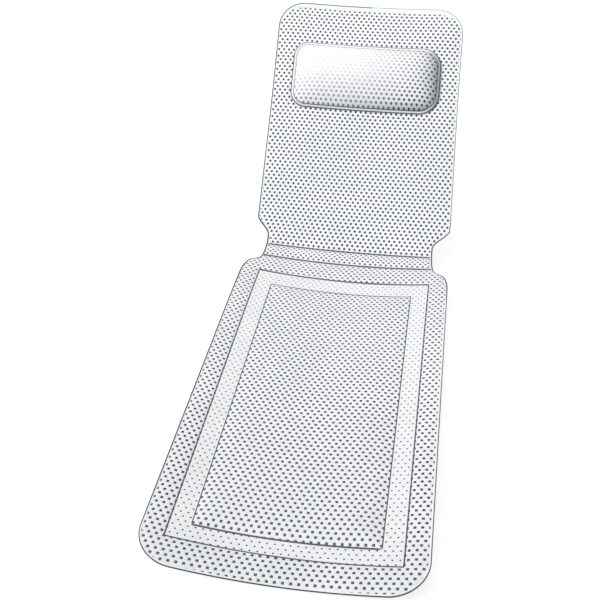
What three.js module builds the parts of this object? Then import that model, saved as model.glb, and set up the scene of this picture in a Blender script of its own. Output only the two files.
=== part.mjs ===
import * as THREE from 'three';

// Bath pillow: a long mat of two sheets welded around soft pads, with a seat, a narrow
// waist, a back and a head pillow. It folds at the two welds beside the waist and lies
// as a shallow trough on suction cups. Lengths are in millimetres. X runs across the
// mat, Y from the foot edge to the head edge and Z up.

// Outline of the mat laid flat
const seatLength = 721;
const waistLength = 28.6;
const backLength = 493.4;
const seatHalfWidth = 190;
const neckHalfWidth = 156;
const backHalfWidth = 180.5;
const footCornerRadius = 56;
const headCornerRadius = 46;
const seatShoulderLength = 48.5;
const backNeckLength = 17.5;
const backShoulderLength = 36;
const outlineStep = 2;

// How far the waist and the back are tilted from the seat at rest
const waistTilt = THREE.MathUtils.degToRad(22.5);
const backTilt = THREE.MathUtils.degToRad(45.5);
const foldGap = 6;
const foldReach = 14;

// The mat curves up at its sides, more on the seat than on the back
const seatTroughRadius = 896;
const neckTroughRadius = 1400;
const backTroughRadius = 1640;
const seatEaseLength = 161;
const backEaseLength = 112;

// Padded border of the seat, and the flat band inside it
const sideBorderWidth = 34;
const footBorderWidth = 44.7;
const headBorderWidth = 53;
const sideBandWidth = 30;
const footBandWidth = 26.6;
const headBandWidth = 39;

// Layers
const sheetThickness = 1.5;
const clearance = 0.3;
const sealWidth = 3;
const headSealWidth = 10;
const padSetback = 4.5;
const weldSetback = 4;
const weldThickness = 2.6;

// Height of each padded field over the welded level, and the run its edge rises in
const centreCrown = 9;
const borderCrown = 7;
const waistCrown = 5.5;
const backCrown = 10;
const crownRun = 16;
const borderRun = 12;
const waistRun = 9;

// Head pillow
const pillowHalfWidth = 144;
const pillowHalfLength = 66;
const pillowToHead = 84.5;
const pillowCornerRadius = 27;
const pillowHeight = 26;
const pillowRun = 56;
const pillowFlange = 6;
const pillowBaseThickness = 1;
const pillowWall = 1.5;
const fillingSetback = 13;
const fillingDrop = 4;
const fillingEdge = 1.5;
const roundness = 1.4;

// Suction cups
const cupRadius = 15.5;
const cupRimWidth = 1.6;
const cupHeight = 10;
const cupBaseRadius = 9;
const cupBaseThickness = 1.2;
const cupNeckRadius = 5;
const cupNeckEnd = 3.6;
const cupSides = 16;
const seatCupOffset = 104;
const footToCups = 95;
const cupsToFold = 31;
const seatCupRows = 5;
const backCupOffset = 108;
const foldToCups = 88;
const cupsToHead = 131;
const backCupRows = 3;

const { clamp, degToRad, inverseLerp, lerp, smootherstep } = THREE.MathUtils;
const white = '#f3f6f7';
const foamGrey = '#59626a';
const clearPlastic = '#dfe6ea';

// Places along the flat mat, measured from the foot edge
const lowerFold = seatLength;
const upperFold = lowerFold + waistLength;
const matLength = upperFold + backLength;
const seatShoulderStart = lowerFold - seatShoulderLength;
const backShoulderStart = upperFold + backNeckLength;
const backShoulderEnd = backShoulderStart + backShoulderLength;
const troughEaseStart = lowerFold - seatEaseLength;
const troughEaseEnd = upperFold + backEaseLength;
const bandOuterHalfWidth = seatHalfWidth - sideBorderWidth;
const bandOuterFoot = footBorderWidth;
const bandOuterHead = lowerFold - headBorderWidth;
const bandInnerHalfWidth = bandOuterHalfWidth - sideBandWidth;
const bandInnerFoot = bandOuterFoot + footBandWidth;
const bandInnerHead = bandOuterHead - headBandWidth;
const pillowMiddle = matLength - pillowToHead - pillowHalfLength;

// Half the mat's width at a distance from the foot edge
function halfWidthAt(along) {
  if (along < footCornerRadius) {
    return cornerHalfWidth(seatHalfWidth, footCornerRadius, along);
  }
  if (along > matLength - headCornerRadius) {
    return cornerHalfWidth(backHalfWidth, headCornerRadius, matLength - along);
  }
  if (along < (lowerFold + upperFold) / 2) {
    const narrowing = smootherstep(along, seatShoulderStart, lowerFold);
    return lerp(seatHalfWidth, neckHalfWidth, narrowing);
  }
  const widening = smootherstep(along, backShoulderStart, backShoulderEnd);
  return lerp(neckHalfWidth, backHalfWidth, widening);
}

function cornerHalfWidth(halfWidth, radius, fromEnd) {
  const inward = radius - Math.max(fromEnd, 0);
  return halfWidth - radius + Math.sqrt(Math.max(radius * radius - inward * inward, 0));
}

const outlineCount = Math.round(matLength / outlineStep);
const outline = Array.from({ length: outlineCount + 1 }, (_, place) => {
  const along = (matLength * place) / outlineCount;
  return new THREE.Vector2(halfWidthAt(along), along);
});

// Distance from a point on the flat mat to the mat's edge
function edgeDistance(across, along) {
  const point = new THREE.Vector2(Math.abs(across), along);
  const toSides = outline.reduce((near, spot) => Math.min(near, spot.distanceTo(point)), matLength);
  return Math.min(toSides, along, matLength - along);
}

// How strongly the mat is curved across at a distance from the foot edge
function troughCurvature(along) {
  const knots = [
    [troughEaseStart, 1 / seatTroughRadius],
    [lowerFold, 1 / neckTroughRadius],
    [upperFold, 1 / neckTroughRadius],
    [troughEaseEnd, 1 / backTroughRadius],
  ];
  if (along <= troughEaseStart) {
    return 1 / seatTroughRadius;
  }
  for (let knot = 1; knot < knots.length; knot += 1) {
    const [start, before] = knots[knot - 1];
    const [end, after] = knots[knot];
    if (along <= end) {
      return lerp(before, after, inverseLerp(start, end, along));
    }
  }
  return 1 / backTroughRadius;
}

// The folds turn about straight lines halfway up the mat's cross-section at the neck
const neckRise = neckTroughRadius * (1 - Math.cos(neckHalfWidth / neckTroughRadius));
const matUnderside = -2 * sheetThickness - clearance;
const foldHeight = (neckRise + matUnderside) / 2;

const sections = [
  { name: 'seat', start: 0, end: lowerFold, tilt: 0, startBend: 0, endBend: waistTilt },
  {
    name: 'waist',
    start: lowerFold,
    end: upperFold,
    tilt: waistTilt,
    startBend: waistTilt,
    endBend: backTilt - waistTilt,
  },
  {
    name: 'back',
    start: upperFold,
    end: matLength,
    tilt: backTilt,
    startBend: backTilt - waistTilt,
    endBend: 0,
  },
];
let foldY = 0;
let foldZ = foldHeight;
sections.forEach((section) => {
  section.foldY = foldY;
  section.foldZ = foldZ;
  foldY += (section.end - section.start) * Math.cos(section.tilt);
  foldZ += (section.end - section.start) * Math.sin(section.tilt);
});

// Puts a point of the flat mat, with its height over the welded level, in its bent place.
// Next to a fold, both neighbours are cut along the plane that halves the bend.
function onMat(across, along, height) {
  const section = sections.find(({ end }) => along <= end) ?? sections[sections.length - 1];
  const curvature = troughCurvature(along);
  const turn = curvature * across;
  const x = Math.sin(turn) / curvature - height * Math.sin(turn);
  const rise = (1 - Math.cos(turn)) / curvature + height * Math.cos(turn) - foldHeight;
  const fromStart = along - section.start;
  const toEnd = section.end - along;
  const startShare = Math.max(1 - fromStart / foldReach, 0);
  const endShare = Math.max(1 - toEnd / foldReach, 0);
  const cut = startShare * Math.tan(section.startBend / 2) - endShare * Math.tan(section.endBend / 2);
  const run = fromStart + rise * cut;
  return new THREE.Vector3(
    x,
    section.foldY + run * Math.cos(section.tilt) - rise * Math.sin(section.tilt),
    section.foldZ + run * Math.sin(section.tilt) + rise * Math.cos(section.tilt),
  );
}

// Rise of a padded field's skin at a distance inside its weld
function crown(height, run, inside, power = 2) {
  const share = 1 - clamp(inside / run, 0, 1);
  return height * (1 - share ** power) ** (1 / power);
}

function seatHeight(across, along) {
  const side = Math.abs(across);
  const inCentre = Math.min(bandInnerHalfWidth - side, along - bandInnerFoot, bandInnerHead - along);
  if (inCentre >= 0) {
    return crown(centreCrown, crownRun, inCentre);
  }
  const offSide = Math.max(side - bandOuterHalfWidth, 0);
  const offEnd = Math.max(bandOuterFoot - along, along - bandOuterHead, 0);
  const offBand = Math.hypot(offSide, offEnd);
  const toFold = lowerFold - foldGap / 2 - along;
  return crown(borderCrown, borderRun, Math.min(offBand, edgeDistance(across, along) - sealWidth, toFold));
}

function waistHeight(across, along) {
  const toSide = halfWidthAt(along) - Math.abs(across) - sealWidth;
  const toFolds = Math.min(along - lowerFold, upperFold - along) - foldGap / 2;
  return crown(waistCrown, waistRun, Math.min(toSide, toFolds));
}

function backHeight(across, along) {
  const toFold = along - upperFold - foldGap / 2;
  const toEdge = edgeDistance(across, along) - sealWidth;
  return crown(backCrown, crownRun, Math.min(toFold, toEdge, matLength - headSealWidth - along));
}

// Distance inside a rounded rectangle's edge, measured from the pillow's outline
function pillowInside(across, along) {
  const side = Math.abs(across) - pillowHalfWidth + pillowCornerRadius;
  const end = Math.abs(along - pillowMiddle) - pillowHalfLength + pillowCornerRadius;
  const outside = Math.hypot(Math.max(side, 0), Math.max(end, 0)) + Math.min(Math.max(side, end), 0);
  return pillowCornerRadius - outside;
}

// Height of the pillow's dome over its flange, drawn in and lowered by the depth of a wall
function domeHeight(across, along, depth) {
  const inside = pillowInside(across, along) - pillowFlange - depth;
  return Math.max(crown(pillowHeight, pillowRun, inside, roundness) - depth, 0);
}

const both = (sizes) => [...sizes.map((size) => -size).reverse(), ...sizes.filter((size) => size > 0)];
const inOrder = (sizes) => [...sizes].sort((one, other) => one - other);
const arcRows = (radius, count) => Array.from(
  { length: count },
  (_, step) => radius * (1 - Math.cos(degToRad((90 * step) / count))),
);

const part = new THREE.Group();
part.name = 'bath_pillow';

function addMesh(name, geometry, color, roughness) {
  geometry.computeVertexNormals();
  const mesh = new THREE.Mesh(geometry, new THREE.MeshStandardMaterial({ color, roughness }));
  mesh.name = name;
  part.add(mesh);
}

// A closed layer over a grid of rows and columns, between an under and an over height.
// Cells that covers turns down are left open, so a layer can be a frame.
function addLayer(name, { rows, columns, acrossAt, covers, under, over, color, roughness }) {
  const points = [];
  const known = new Map();
  const faces = [];
  const corner = (row, column, height) => {
    const key = [row, column, height === over].join();
    if (!known.has(key)) {
      const along = rows[row];
      const across = acrossAt(columns[column], along);
      known.set(key, points.length);
      points.push(onMat(across, along, height(across, along)));
    }
    return known.get(key);
  };
  const covered = (row, column) => row >= 0 && column >= 0
    && row < rows.length - 1 && column < columns.length - 1
    && covers((columns[column] + columns[column + 1]) / 2, (rows[row] + rows[row + 1]) / 2);
  const addQuad = (one, two, three, four) => faces.push(one, two, three, one, three, four);
  for (let row = 0; row < rows.length - 1; row += 1) {
    for (let column = 0; column < columns.length - 1; column += 1) {
      if (covered(row, column)) {
        const ring = [[row, column], [row, column + 1], [row + 1, column + 1], [row + 1, column]];
        const beyond = [[row - 1, column], [row, column + 1], [row + 1, column], [row, column - 1]];
        addQuad(...ring.map(([r, c]) => corner(r, c, over)));
        addQuad(...[ring[0], ring[3], ring[2], ring[1]].map(([r, c]) => corner(r, c, under)));
        ring.forEach(([r, c], side) => {
          const [nextRow, nextColumn] = ring[(side + 1) % ring.length];
          if (!covered(...beyond[side])) {
            addQuad(
              corner(r, c, under),
              corner(nextRow, nextColumn, under),
              corner(nextRow, nextColumn, over),
              corner(r, c, over),
            );
          }
        });
      }
    }
  }
  const geometry = new THREE.BufferGeometry().setFromPoints(points);
  geometry.setIndex(faces);
  addMesh(name, geometry, color, roughness);
}

const everywhere = () => true;
const level = (height) => () => height;
const under = (skin, depth) => (across, along) => skin(across, along) - depth;

// Adds one section's top sheet, pads and bottom sheet, all on the same columns
function addSection({ name, rows, bottomRows, columns, acrossAt, skin, pads }) {
  const grid = { columns, acrossAt, roughness: 0.6 };
  addLayer(`${name}_top_sheet`, {
    ...grid,
    rows,
    covers: everywhere,
    under: under(skin, sheetThickness),
    over: skin,
    color: white,
  });
  pads.forEach(({ label, covers }) => addLayer(`${name}_${label}`, {
    ...grid,
    rows,
    covers,
    under: level(-sheetThickness),
    over: under(skin, sheetThickness + clearance),
    color: foamGrey,
  }));
  addLayer(`${name}_bottom_sheet`, {
    ...grid,
    rows: bottomRows,
    covers: everywhere,
    under: level(matUnderside),
    over: level(-sheetThickness - clearance),
    color: white,
  });
}

// Seat: a padded border, a flat band and a padded centre
const footRows = arcRows(footCornerRadius, 6).filter((row) => row < bandOuterFoot - padSetback);
const footPadStart = footRows[2];
const seatEnd = lowerFold - foldGap / 2;
const seatPadEnd = seatEnd - padSetback;
const narrowingShares = [0.2, 0.4, 0.6, 0.75];
const shoulderRows = narrowingShares.map((share) => lerp(seatShoulderStart, lowerFold, share));
const seatRows = inOrder([
  ...footRows,
  bandOuterFoot - padSetback,
  bandOuterFoot,
  (bandOuterFoot + bandInnerFoot) / 2,
  bandInnerFoot,
  bandInnerFoot + padSetback,
  bandInnerFoot + crownRun,
  troughEaseStart,
  bandInnerHead - crownRun,
  bandInnerHead - padSetback,
  bandInnerHead,
  seatShoulderStart,
  bandOuterHead,
  ...shoulderRows,
  seatPadEnd,
  seatEnd,
]);
const seatBottomRows = inOrder([
  ...footRows,
  footCornerRadius,
  troughEaseStart,
  seatShoulderStart,
  ...shoulderRows,
  seatEnd,
]);
const borderMiddle = (bandOuterHalfWidth + seatHalfWidth) / 2;
const seatPadSide = seatHalfWidth - sealWidth - padSetback;
const seatColumns = both([
  0,
  (bandInnerHalfWidth - crownRun) / 3,
  (2 * (bandInnerHalfWidth - crownRun)) / 3,
  bandInnerHalfWidth - crownRun,
  bandInnerHalfWidth - padSetback,
  bandInnerHalfWidth,
  bandOuterHalfWidth,
  bandOuterHalfWidth + padSetback,
  borderMiddle,
  seatPadSide,
  seatHalfWidth,
]);

// Columns keep to the welded rectangles beside them and follow the outline elsewhere
function seatAcross(column, along) {
  const side = Math.abs(column);
  const half = halfWidthAt(along);
  if (along < bandOuterFoot || along > bandOuterHead) {
    return (column * half) / seatHalfWidth;
  }
  if (side <= bandOuterHalfWidth) {
    return column;
  }
  const outward = inverseLerp(bandOuterHalfWidth, seatHalfWidth, side);
  return Math.sign(column) * lerp(bandOuterHalfWidth, half, outward);
}

function coversCentre(column, along) {
  return Math.abs(column) < bandInnerHalfWidth - padSetback
    && along > bandInnerFoot + padSetback && along < bandInnerHead - padSetback;
}

function coversBorder(column, along) {
  const inBand = Math.abs(column) < bandOuterHalfWidth + padSetback
    && along > bandOuterFoot - padSetback && along < seatShoulderStart;
  return !inBand && Math.abs(column) < seatPadSide && along > footPadStart && along < seatPadEnd;
}

addSection({
  name: 'seat',
  rows: seatRows,
  bottomRows: seatBottomRows,
  columns: seatColumns,
  acrossAt: seatAcross,
  skin: seatHeight,
  pads: [
    { label: 'centre_pad', covers: coversCentre },
    { label: 'border_pad', covers: coversBorder },
  ],
});

// Waist: one narrow padded strip between the folds
const waistStart = lowerFold + foldGap / 2;
const waistEnd = upperFold - foldGap / 2;
const fieldShares = [0, 0.25, 0.5, 0.75];
const neckColumns = both([
  ...fieldShares.map((share) => neckHalfWidth * share),
  neckHalfWidth - waistRun - sealWidth,
  neckHalfWidth - sealWidth - padSetback,
  neckHalfWidth - sealWidth,
  neckHalfWidth,
]);
const keepColumn = (column) => column;
addSection({
  name: 'waist',
  rows: [
    waistStart,
    waistStart + padSetback,
    (lowerFold + upperFold) / 2,
    waistEnd - padSetback,
    waistEnd,
  ],
  bottomRows: [waistStart, waistEnd],
  columns: neckColumns,
  acrossAt: keepColumn,
  skin: waistHeight,
  pads: [{
    label: 'pad',
    covers: (column, along) => Math.abs(column) < neckHalfWidth - sealWidth - padSetback
      && along > waistStart + padSetback && along < waistEnd - padSetback,
  }],
});

// Back: one padded field with a wider plain seal along the head edge
const backStart = upperFold + foldGap / 2;
const headRows = arcRows(headCornerRadius, 5).map((row) => matLength - row);
const backPadEnd = matLength - headSealWidth - padSetback;
const backPadSide = backHalfWidth - sealWidth - padSetback;
const wideningShares = [0, 0.25, 0.5, 0.75, 1];
const wideningRows = wideningShares.map((share) => lerp(backShoulderStart, backShoulderEnd, share));
const backColumns = both([
  ...fieldShares.map((share) => backHalfWidth * share),
  backHalfWidth - sealWidth - crownRun,
  backPadSide,
  backHalfWidth - sealWidth,
  backHalfWidth,
]);
addSection({
  name: 'back',
  rows: inOrder([
    backStart,
    backStart + padSetback,
    ...wideningRows,
    troughEaseEnd,
    matLength - headCornerRadius,
    matLength - headSealWidth - crownRun,
    backPadEnd,
    ...headRows,
  ]),
  bottomRows: inOrder([backStart, ...wideningRows, troughEaseEnd, matLength - headCornerRadius, ...headRows]),
  columns: backColumns,
  acrossAt: (column, along) => (column * halfWidthAt(along)) / backHalfWidth,
  skin: backHeight,
  pads: [{
    label: 'pad',
    covers: (column, along) => Math.abs(column) < backPadSide
      && along > backStart + padSetback && along < backPadEnd,
  }],
});

// Fused welds: thin flexible strips that join the sheets across each fold
const weldHalfRun = foldGap / 2 - clearance;
const weldTop = (matUnderside + weldThickness) / 2;
[['lower', lowerFold], ['upper', upperFold]].forEach(([label, fold]) => {
  addLayer(`${label}_fold_weld`, {
    rows: [fold - weldHalfRun, fold, fold + weldHalfRun],
    columns: neckColumns.filter((column) => Math.abs(column) < neckHalfWidth - weldSetback),
    acrossAt: keepColumn,
    covers: everywhere,
    under: level(weldTop - weldThickness),
    over: level(weldTop),
    color: white,
    roughness: 0.5,
  });
});

// Head pillow: a base skin, a soft filling and a domed shell with a welded flange
const baseTop = backCrown + clearance + pillowBaseThickness;
const flangeTop = baseTop + clearance + pillowWall;
const endShares = [0, 0.06, 0.25, 0.5, 0.75, 1];
const pillowEnds = endShares.map((share) => pillowHalfLength - pillowCornerRadius * share);
const pillowRows = both(inOrder([0, pillowHalfLength / 3, ...pillowEnds]))
  .map((row) => pillowMiddle + row);
const domeShares = [0, 1 / 12, 1 / 4, 1 / 2, 1];
const pillowColumns = both([
  0,
  pillowHalfWidth / 3,
  ...[...domeShares].reverse().map((share) => pillowHalfWidth - pillowFlange - pillowRun * share),
  pillowHalfWidth,
]);

function pillowAcross(column, along) {
  const fromEnd = pillowHalfLength - Math.abs(along - pillowMiddle);
  if (fromEnd >= pillowCornerRadius) {
    return column;
  }
  return (column * cornerHalfWidth(pillowHalfWidth, pillowCornerRadius, fromEnd)) / pillowHalfWidth;
}

const pillowGrid = {
  rows: pillowRows,
  columns: pillowColumns,
  acrossAt: pillowAcross,
  covers: everywhere,
  color: white,
  roughness: 0.6,
};
addLayer('pillow_base_sheet', {
  ...pillowGrid,
  under: level(backCrown + clearance),
  over: level(baseTop),
});
addLayer('pillow_shell', {
  ...pillowGrid,
  under: (across, along) => baseTop + clearance + domeHeight(across, along, pillowWall),
  over: (across, along) => flangeTop + domeHeight(across, along, 0),
});

// The filling keeps clear of the shell's steep wall
const fillingHalfWidth = pillowHalfWidth - fillingSetback;
const fillingHalfLength = pillowHalfLength - fillingSetback;
const fillingCorner = pillowCornerRadius - fillingSetback / 2;
addLayer('pillow_filling', {
  ...pillowGrid,
  rows: both(inOrder([
    0,
    fillingHalfLength / 2,
    ...arcRows(fillingCorner, 4).map((row) => fillingHalfLength - row),
    fillingHalfLength - fillingCorner,
  ])).map((row) => pillowMiddle + row),
  columns: both([
    0,
    fillingHalfWidth / 2,
    fillingHalfWidth - fillingCorner,
    fillingHalfWidth - fillingCorner / 2,
    fillingHalfWidth - fillingCorner / 4,
    fillingHalfWidth,
  ]),
  acrossAt: (column, along) => {
    const fromEnd = fillingHalfLength - Math.abs(along - pillowMiddle);
    const half = fromEnd < fillingCorner
      ? cornerHalfWidth(fillingHalfWidth, fillingCorner, fromEnd)
      : fillingHalfWidth;
    return (column * half) / fillingHalfWidth;
  },
  under: level(baseTop + clearance),
  over: (across, along) => {
    const inside = pillowInside(across, along) - fillingSetback + fillingEdge;
    return baseTop + clearance + crown(pillowHeight - fillingDrop, pillowRun, inside, roundness);
  },
  color: foamGrey,
});

// Suction cups: each base is welded under the bottom sheet and square to it. The bell's
// points are shares of its flare and depth, and the hollow's of its mouth and depth.
const bellShares = [[0.45, 0.2], [0.82, 0.55], [1, 1]];
const hollowShares = [[1, 0], [0.72, 0.45], [0.38, 0.72], [0, 0.8]];
const bellDepth = cupHeight - cupNeckEnd;
const cupOutline = [
  [0, 0],
  [cupBaseRadius, 0],
  [cupBaseRadius, cupBaseThickness],
  [cupNeckRadius, cupBaseThickness],
  [cupNeckRadius, cupNeckEnd],
  ...bellShares.map(([flare, depth]) => [
    lerp(cupNeckRadius, cupRadius, flare),
    cupNeckEnd + bellDepth * depth,
  ]),
  ...hollowShares.map(([width, depth]) => [
    (cupRadius - cupRimWidth) * width,
    cupHeight - bellDepth * depth,
  ]),
].map(([radius, depth]) => new THREE.Vector2(radius, -depth)).reverse();

function addCup(name, across, along) {
  const top = onMat(across, along, matUnderside - clearance);
  const lift = onMat(across, along, matUnderside).sub(top).normalize();
  const lengthways = onMat(across, along + foldReach, matUnderside - clearance).sub(top);
  const sideways = new THREE.Vector3().crossVectors(lengthways, lift).normalize();
  const forward = new THREE.Vector3().crossVectors(sideways, lift);
  const stand = new THREE.Matrix4().makeBasis(sideways, lift, forward).setPosition(top);
  addMesh(name, new THREE.LatheGeometry(cupOutline, cupSides).applyMatrix4(stand), clearPlastic, 0.3);
}

function addCupRows(name, rowCount, first, last, offset) {
  for (let row = 0; row < rowCount; row += 1) {
    const along = lerp(first, last, row / (rowCount - 1));
    addCup(`${name}_cup_left_${row + 1}`, -offset, along);
    addCup(`${name}_cup_right_${row + 1}`, offset, along);
  }
}
addCupRows('seat', seatCupRows, footToCups, lowerFold - cupsToFold, seatCupOffset);
addCupRows('back', backCupRows, upperFold + foldToCups, matLength - cupsToHead, backCupOffset);

// The frame's origin is under the middle of the part, level with the lowest cup rims
const box = new THREE.Box3().setFromObject(part, true);
const middle = box.getCenter(new THREE.Vector3());
part.children.forEach((mesh) => mesh.geometry.translate(-middle.x, -middle.y, -box.min.z));

export default part;
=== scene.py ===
import math
from collections import namedtuple

import bpy
import numpy as np
from mathutils import Matrix, Vector


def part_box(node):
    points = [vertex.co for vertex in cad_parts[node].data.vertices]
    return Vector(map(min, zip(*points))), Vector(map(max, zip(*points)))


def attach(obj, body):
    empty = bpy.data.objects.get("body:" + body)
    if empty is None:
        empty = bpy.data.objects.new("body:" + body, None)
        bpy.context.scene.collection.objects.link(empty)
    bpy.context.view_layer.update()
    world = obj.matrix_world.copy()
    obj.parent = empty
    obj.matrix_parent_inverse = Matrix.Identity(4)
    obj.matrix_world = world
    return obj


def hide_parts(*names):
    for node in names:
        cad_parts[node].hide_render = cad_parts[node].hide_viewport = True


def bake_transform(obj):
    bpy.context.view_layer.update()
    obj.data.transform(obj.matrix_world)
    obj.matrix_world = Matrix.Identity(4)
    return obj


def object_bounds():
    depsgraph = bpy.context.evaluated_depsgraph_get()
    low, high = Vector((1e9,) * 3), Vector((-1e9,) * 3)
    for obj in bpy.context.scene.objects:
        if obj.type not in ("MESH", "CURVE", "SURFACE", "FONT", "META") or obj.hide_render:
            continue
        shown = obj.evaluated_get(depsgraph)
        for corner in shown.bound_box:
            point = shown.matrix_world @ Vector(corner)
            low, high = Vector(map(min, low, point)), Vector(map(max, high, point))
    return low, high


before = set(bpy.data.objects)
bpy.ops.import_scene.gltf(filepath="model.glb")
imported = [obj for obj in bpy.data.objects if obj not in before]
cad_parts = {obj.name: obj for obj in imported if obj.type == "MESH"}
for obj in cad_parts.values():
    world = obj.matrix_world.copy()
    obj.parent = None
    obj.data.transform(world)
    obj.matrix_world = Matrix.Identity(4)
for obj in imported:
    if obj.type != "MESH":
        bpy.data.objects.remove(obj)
cad_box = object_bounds()

# Bottom sheets
# Three sheets of white foamed PVC, punched all over with staggered holes so that water
# drains. They are cut and punched flat and then take the mat's shallow trough and its
# two bends. Sizes are millimetres on the flat mat: across, along from the foot, height.
SEAT_LENGTH = 721.0
WAIST_LENGTH = 28.6
BACK_LENGTH = 493.4
LOWER_FOLD = SEAT_LENGTH
UPPER_FOLD = LOWER_FOLD + WAIST_LENGTH
MAT_LENGTH = UPPER_FOLD + BACK_LENGTH
SEAT_HALF_WIDTH = 190.0
BACK_HALF_WIDTH = 180.5
FOOT_CORNER = 53.0
HEAD_CORNER = 52.0
SHOULDER_START = 652.0
SHOULDER_END = 704.0
SHOULDER_END_SIDE = 170.5
NECK_PLACE = 766.0
NECK_SIDE = 157.0
BACK_RISE = (768.5, 804.0)
BACK_TAPER_END = 1050.0
BACK_SIDES = (183.3, BACK_HALF_WIDTH)
ASKEW = (0.02, 965.0)
ASKEW_START = (766.0, 815.0)
NECK_RADIUS = 1400.0
TROUGH = {560.0: 896.0, LOWER_FOLD: NECK_RADIUS, UPPER_FOLD: NECK_RADIUS, 861.6: 1640.0}
TILTS = (0.0, 22.5, 45.5)
FOLD_REACH = 14.0
UNDERSIDE = -3.3
# The folds turn halfway up the solids' cross-section at the neck, SOLID_NECK to each side.
SOLID_NECK = 156.0
FOLD_HEIGHT = (NECK_RADIUS * (1 - math.cos(SOLID_NECK / NECK_RADIUS)) + UNDERSIDE) / 2
# Where the frame has the flat mat's foot, and the height of its lowest sheet.
SHIFT = (0.0, cad_box[0][1] * 1000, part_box("seat_bottom_sheet")[0][2] * 1000 - UNDERSIDE)
RIM = 3.0
HEAD_RIM = 10.0
PITCH = 9.8
SEAT_ROW = 6.8
WAIST_ROW = WAIST_LENGTH / 4
BACK_ROW = BACK_LENGTH / 72
# A hole's width, length and squareness, and where a sheet's holes lie: how far they sit to
# the right and how much their rows slant come last.
Lattice = namedtuple(
    "Lattice",
    "first_row pitch row_spacing rows stagger hole sideways slant",
    defaults=(0.0, 0.0),
)
SEAT_HOLE = (4.08, 4.08, 0.32)
WAIST_HOLE = (4.2, 3.3, 0.12)
BACK_HOLE = (4.45, 4.45, 0.12)


def s_curve(along, start, end):
    share = np.clip((along - start) / (end - start), 0, 1)
    return share**3 * (share * (share * 6 - 15) + 10)


def rounded_end(half, radius, from_end):
    inward = radius - np.clip(from_end, 0, radius)
    return half - radius + np.sqrt(np.maximum(radius**2 - inward**2, 0))


def quarter_arc(share):
    return np.sqrt(1 - np.clip(share, 0, 1) ** 2)


def mat_side(along):
    """Half the mat's width, its corners aside: two quarter ellipses, then a smooth rise."""
    shoulder = (along - SHOULDER_START) / (SHOULDER_END - SHOULDER_START)
    neck = (NECK_PLACE - along) / (NECK_PLACE - SHOULDER_END)
    rounded = SHOULDER_END_SIDE + (SEAT_HALF_WIDTH - SHOULDER_END_SIDE) * quarter_arc(shoulder)
    narrowed = SHOULDER_END_SIDE - (SHOULDER_END_SIDE - NECK_SIDE) * quarter_arc(neck)
    rise = np.clip((along - BACK_RISE[0]) / (BACK_RISE[1] - BACK_RISE[0]), 0, 1)
    back = np.interp(along, (BACK_RISE[1], BACK_TAPER_END), BACK_SIDES)
    return np.where(along < SHOULDER_END, rounded, narrowed) + rise**2 * (3 - 2 * rise) * (back - NECK_SIDE)


def half_width(along):
    along = np.asarray(along, float)
    width = sum(mat_side(along + near) for near in (-3, -1, 1, 3)) / 4
    foot = rounded_end(SEAT_HALF_WIDTH, FOOT_CORNER, along)
    head = rounded_end(BACK_HALF_WIDTH, HEAD_CORNER, MAT_LENGTH - along)
    width = np.where(along < FOOT_CORNER, foot, width)
    return np.where(along > MAT_LENGTH - HEAD_CORNER, head, width)


def on_mat(across, along, height):
    """A flat mat's points in their bent place, in metres in the row frame. The back has
    set a little askew."""
    across, along, height = np.broadcast_arrays(*(np.asarray(x, float) for x in (across, along, height)))
    curvature = np.interp(along, list(TROUGH), [1 / radius for radius in TROUGH.values()])
    turn = curvature * across
    x = np.sin(turn) * (1 / curvature - height)
    x += s_curve(along, *ASKEW_START) * ASKEW[0] * (ASKEW[1] - along)
    rise = (1 - np.cos(turn)) / curvature + height * np.cos(turn) - FOLD_HEIGHT
    part = (along > LOWER_FOLD).astype(int) + (along > UPPER_FOLD)
    starts = np.array([0.0, LOWER_FOLD, UPPER_FOLD])
    ends = np.array([LOWER_FOLD, UPPER_FOLD, MAT_LENGTH])
    tilts = np.radians(TILTS)
    bends = np.tan(np.array([0.0, tilts[1], tilts[2] - tilts[1], 0.0]) / 2)
    fold_y = np.cumsum([0.0, *((ends - starts) * np.cos(tilts))[:-1]])
    fold_z = FOLD_HEIGHT + np.cumsum([0.0, *((ends - starts) * np.sin(tilts))[:-1]])
    from_start, to_end = along - starts[part], ends[part] - along
    cut = np.maximum(1 - from_start / FOLD_REACH, 0) * bends[part]
    cut -= np.maximum(1 - to_end / FOLD_REACH, 0) * bends[part + 1]
    run = from_start + rise * cut
    y = fold_y[part] + run * np.cos(tilts[part]) - rise * np.sin(tilts[part])
    z = fold_z[part] + run * np.sin(tilts[part]) + rise * np.cos(tilts[part])
    return (np.stack([x, y, z], axis=-1) + SHIFT) / 1000


def node(tree, kind, links=(), **settings):
    """Adds a node with its settings, and values or sockets for its inputs."""
    made = tree.nodes.new(kind)
    for name, value in settings.items():
        setattr(made, name, value)
    for name, value in dict(links).items():
        if isinstance(value, bpy.types.NodeSocket):
            tree.links.new(value, made.inputs[name])
        else:
            made.inputs[name].default_value = value
    return made


def linear(hex_colour):
    parts = [int(hex_colour[i : i + 2], 16) / 255 for i in (1, 3, 5)]
    return [*(c / 12.92 if c <= 0.04045 else ((c + 0.055) / 1.055) ** 2.4 for c in parts), 1.0]


def worked(tree, operation, *values):
    """The result of a maths node."""
    return node(tree, "ShaderNodeMath", dict(enumerate(values)), operation=operation).outputs[0]


def mixed(tree, share, one, other):
    """A mix of two colours."""
    links = {"Factor": share, "A": one, "B": other}
    return node(tree, "ShaderNodeMix", links, data_type="RGBA").outputs["Result"]


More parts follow.
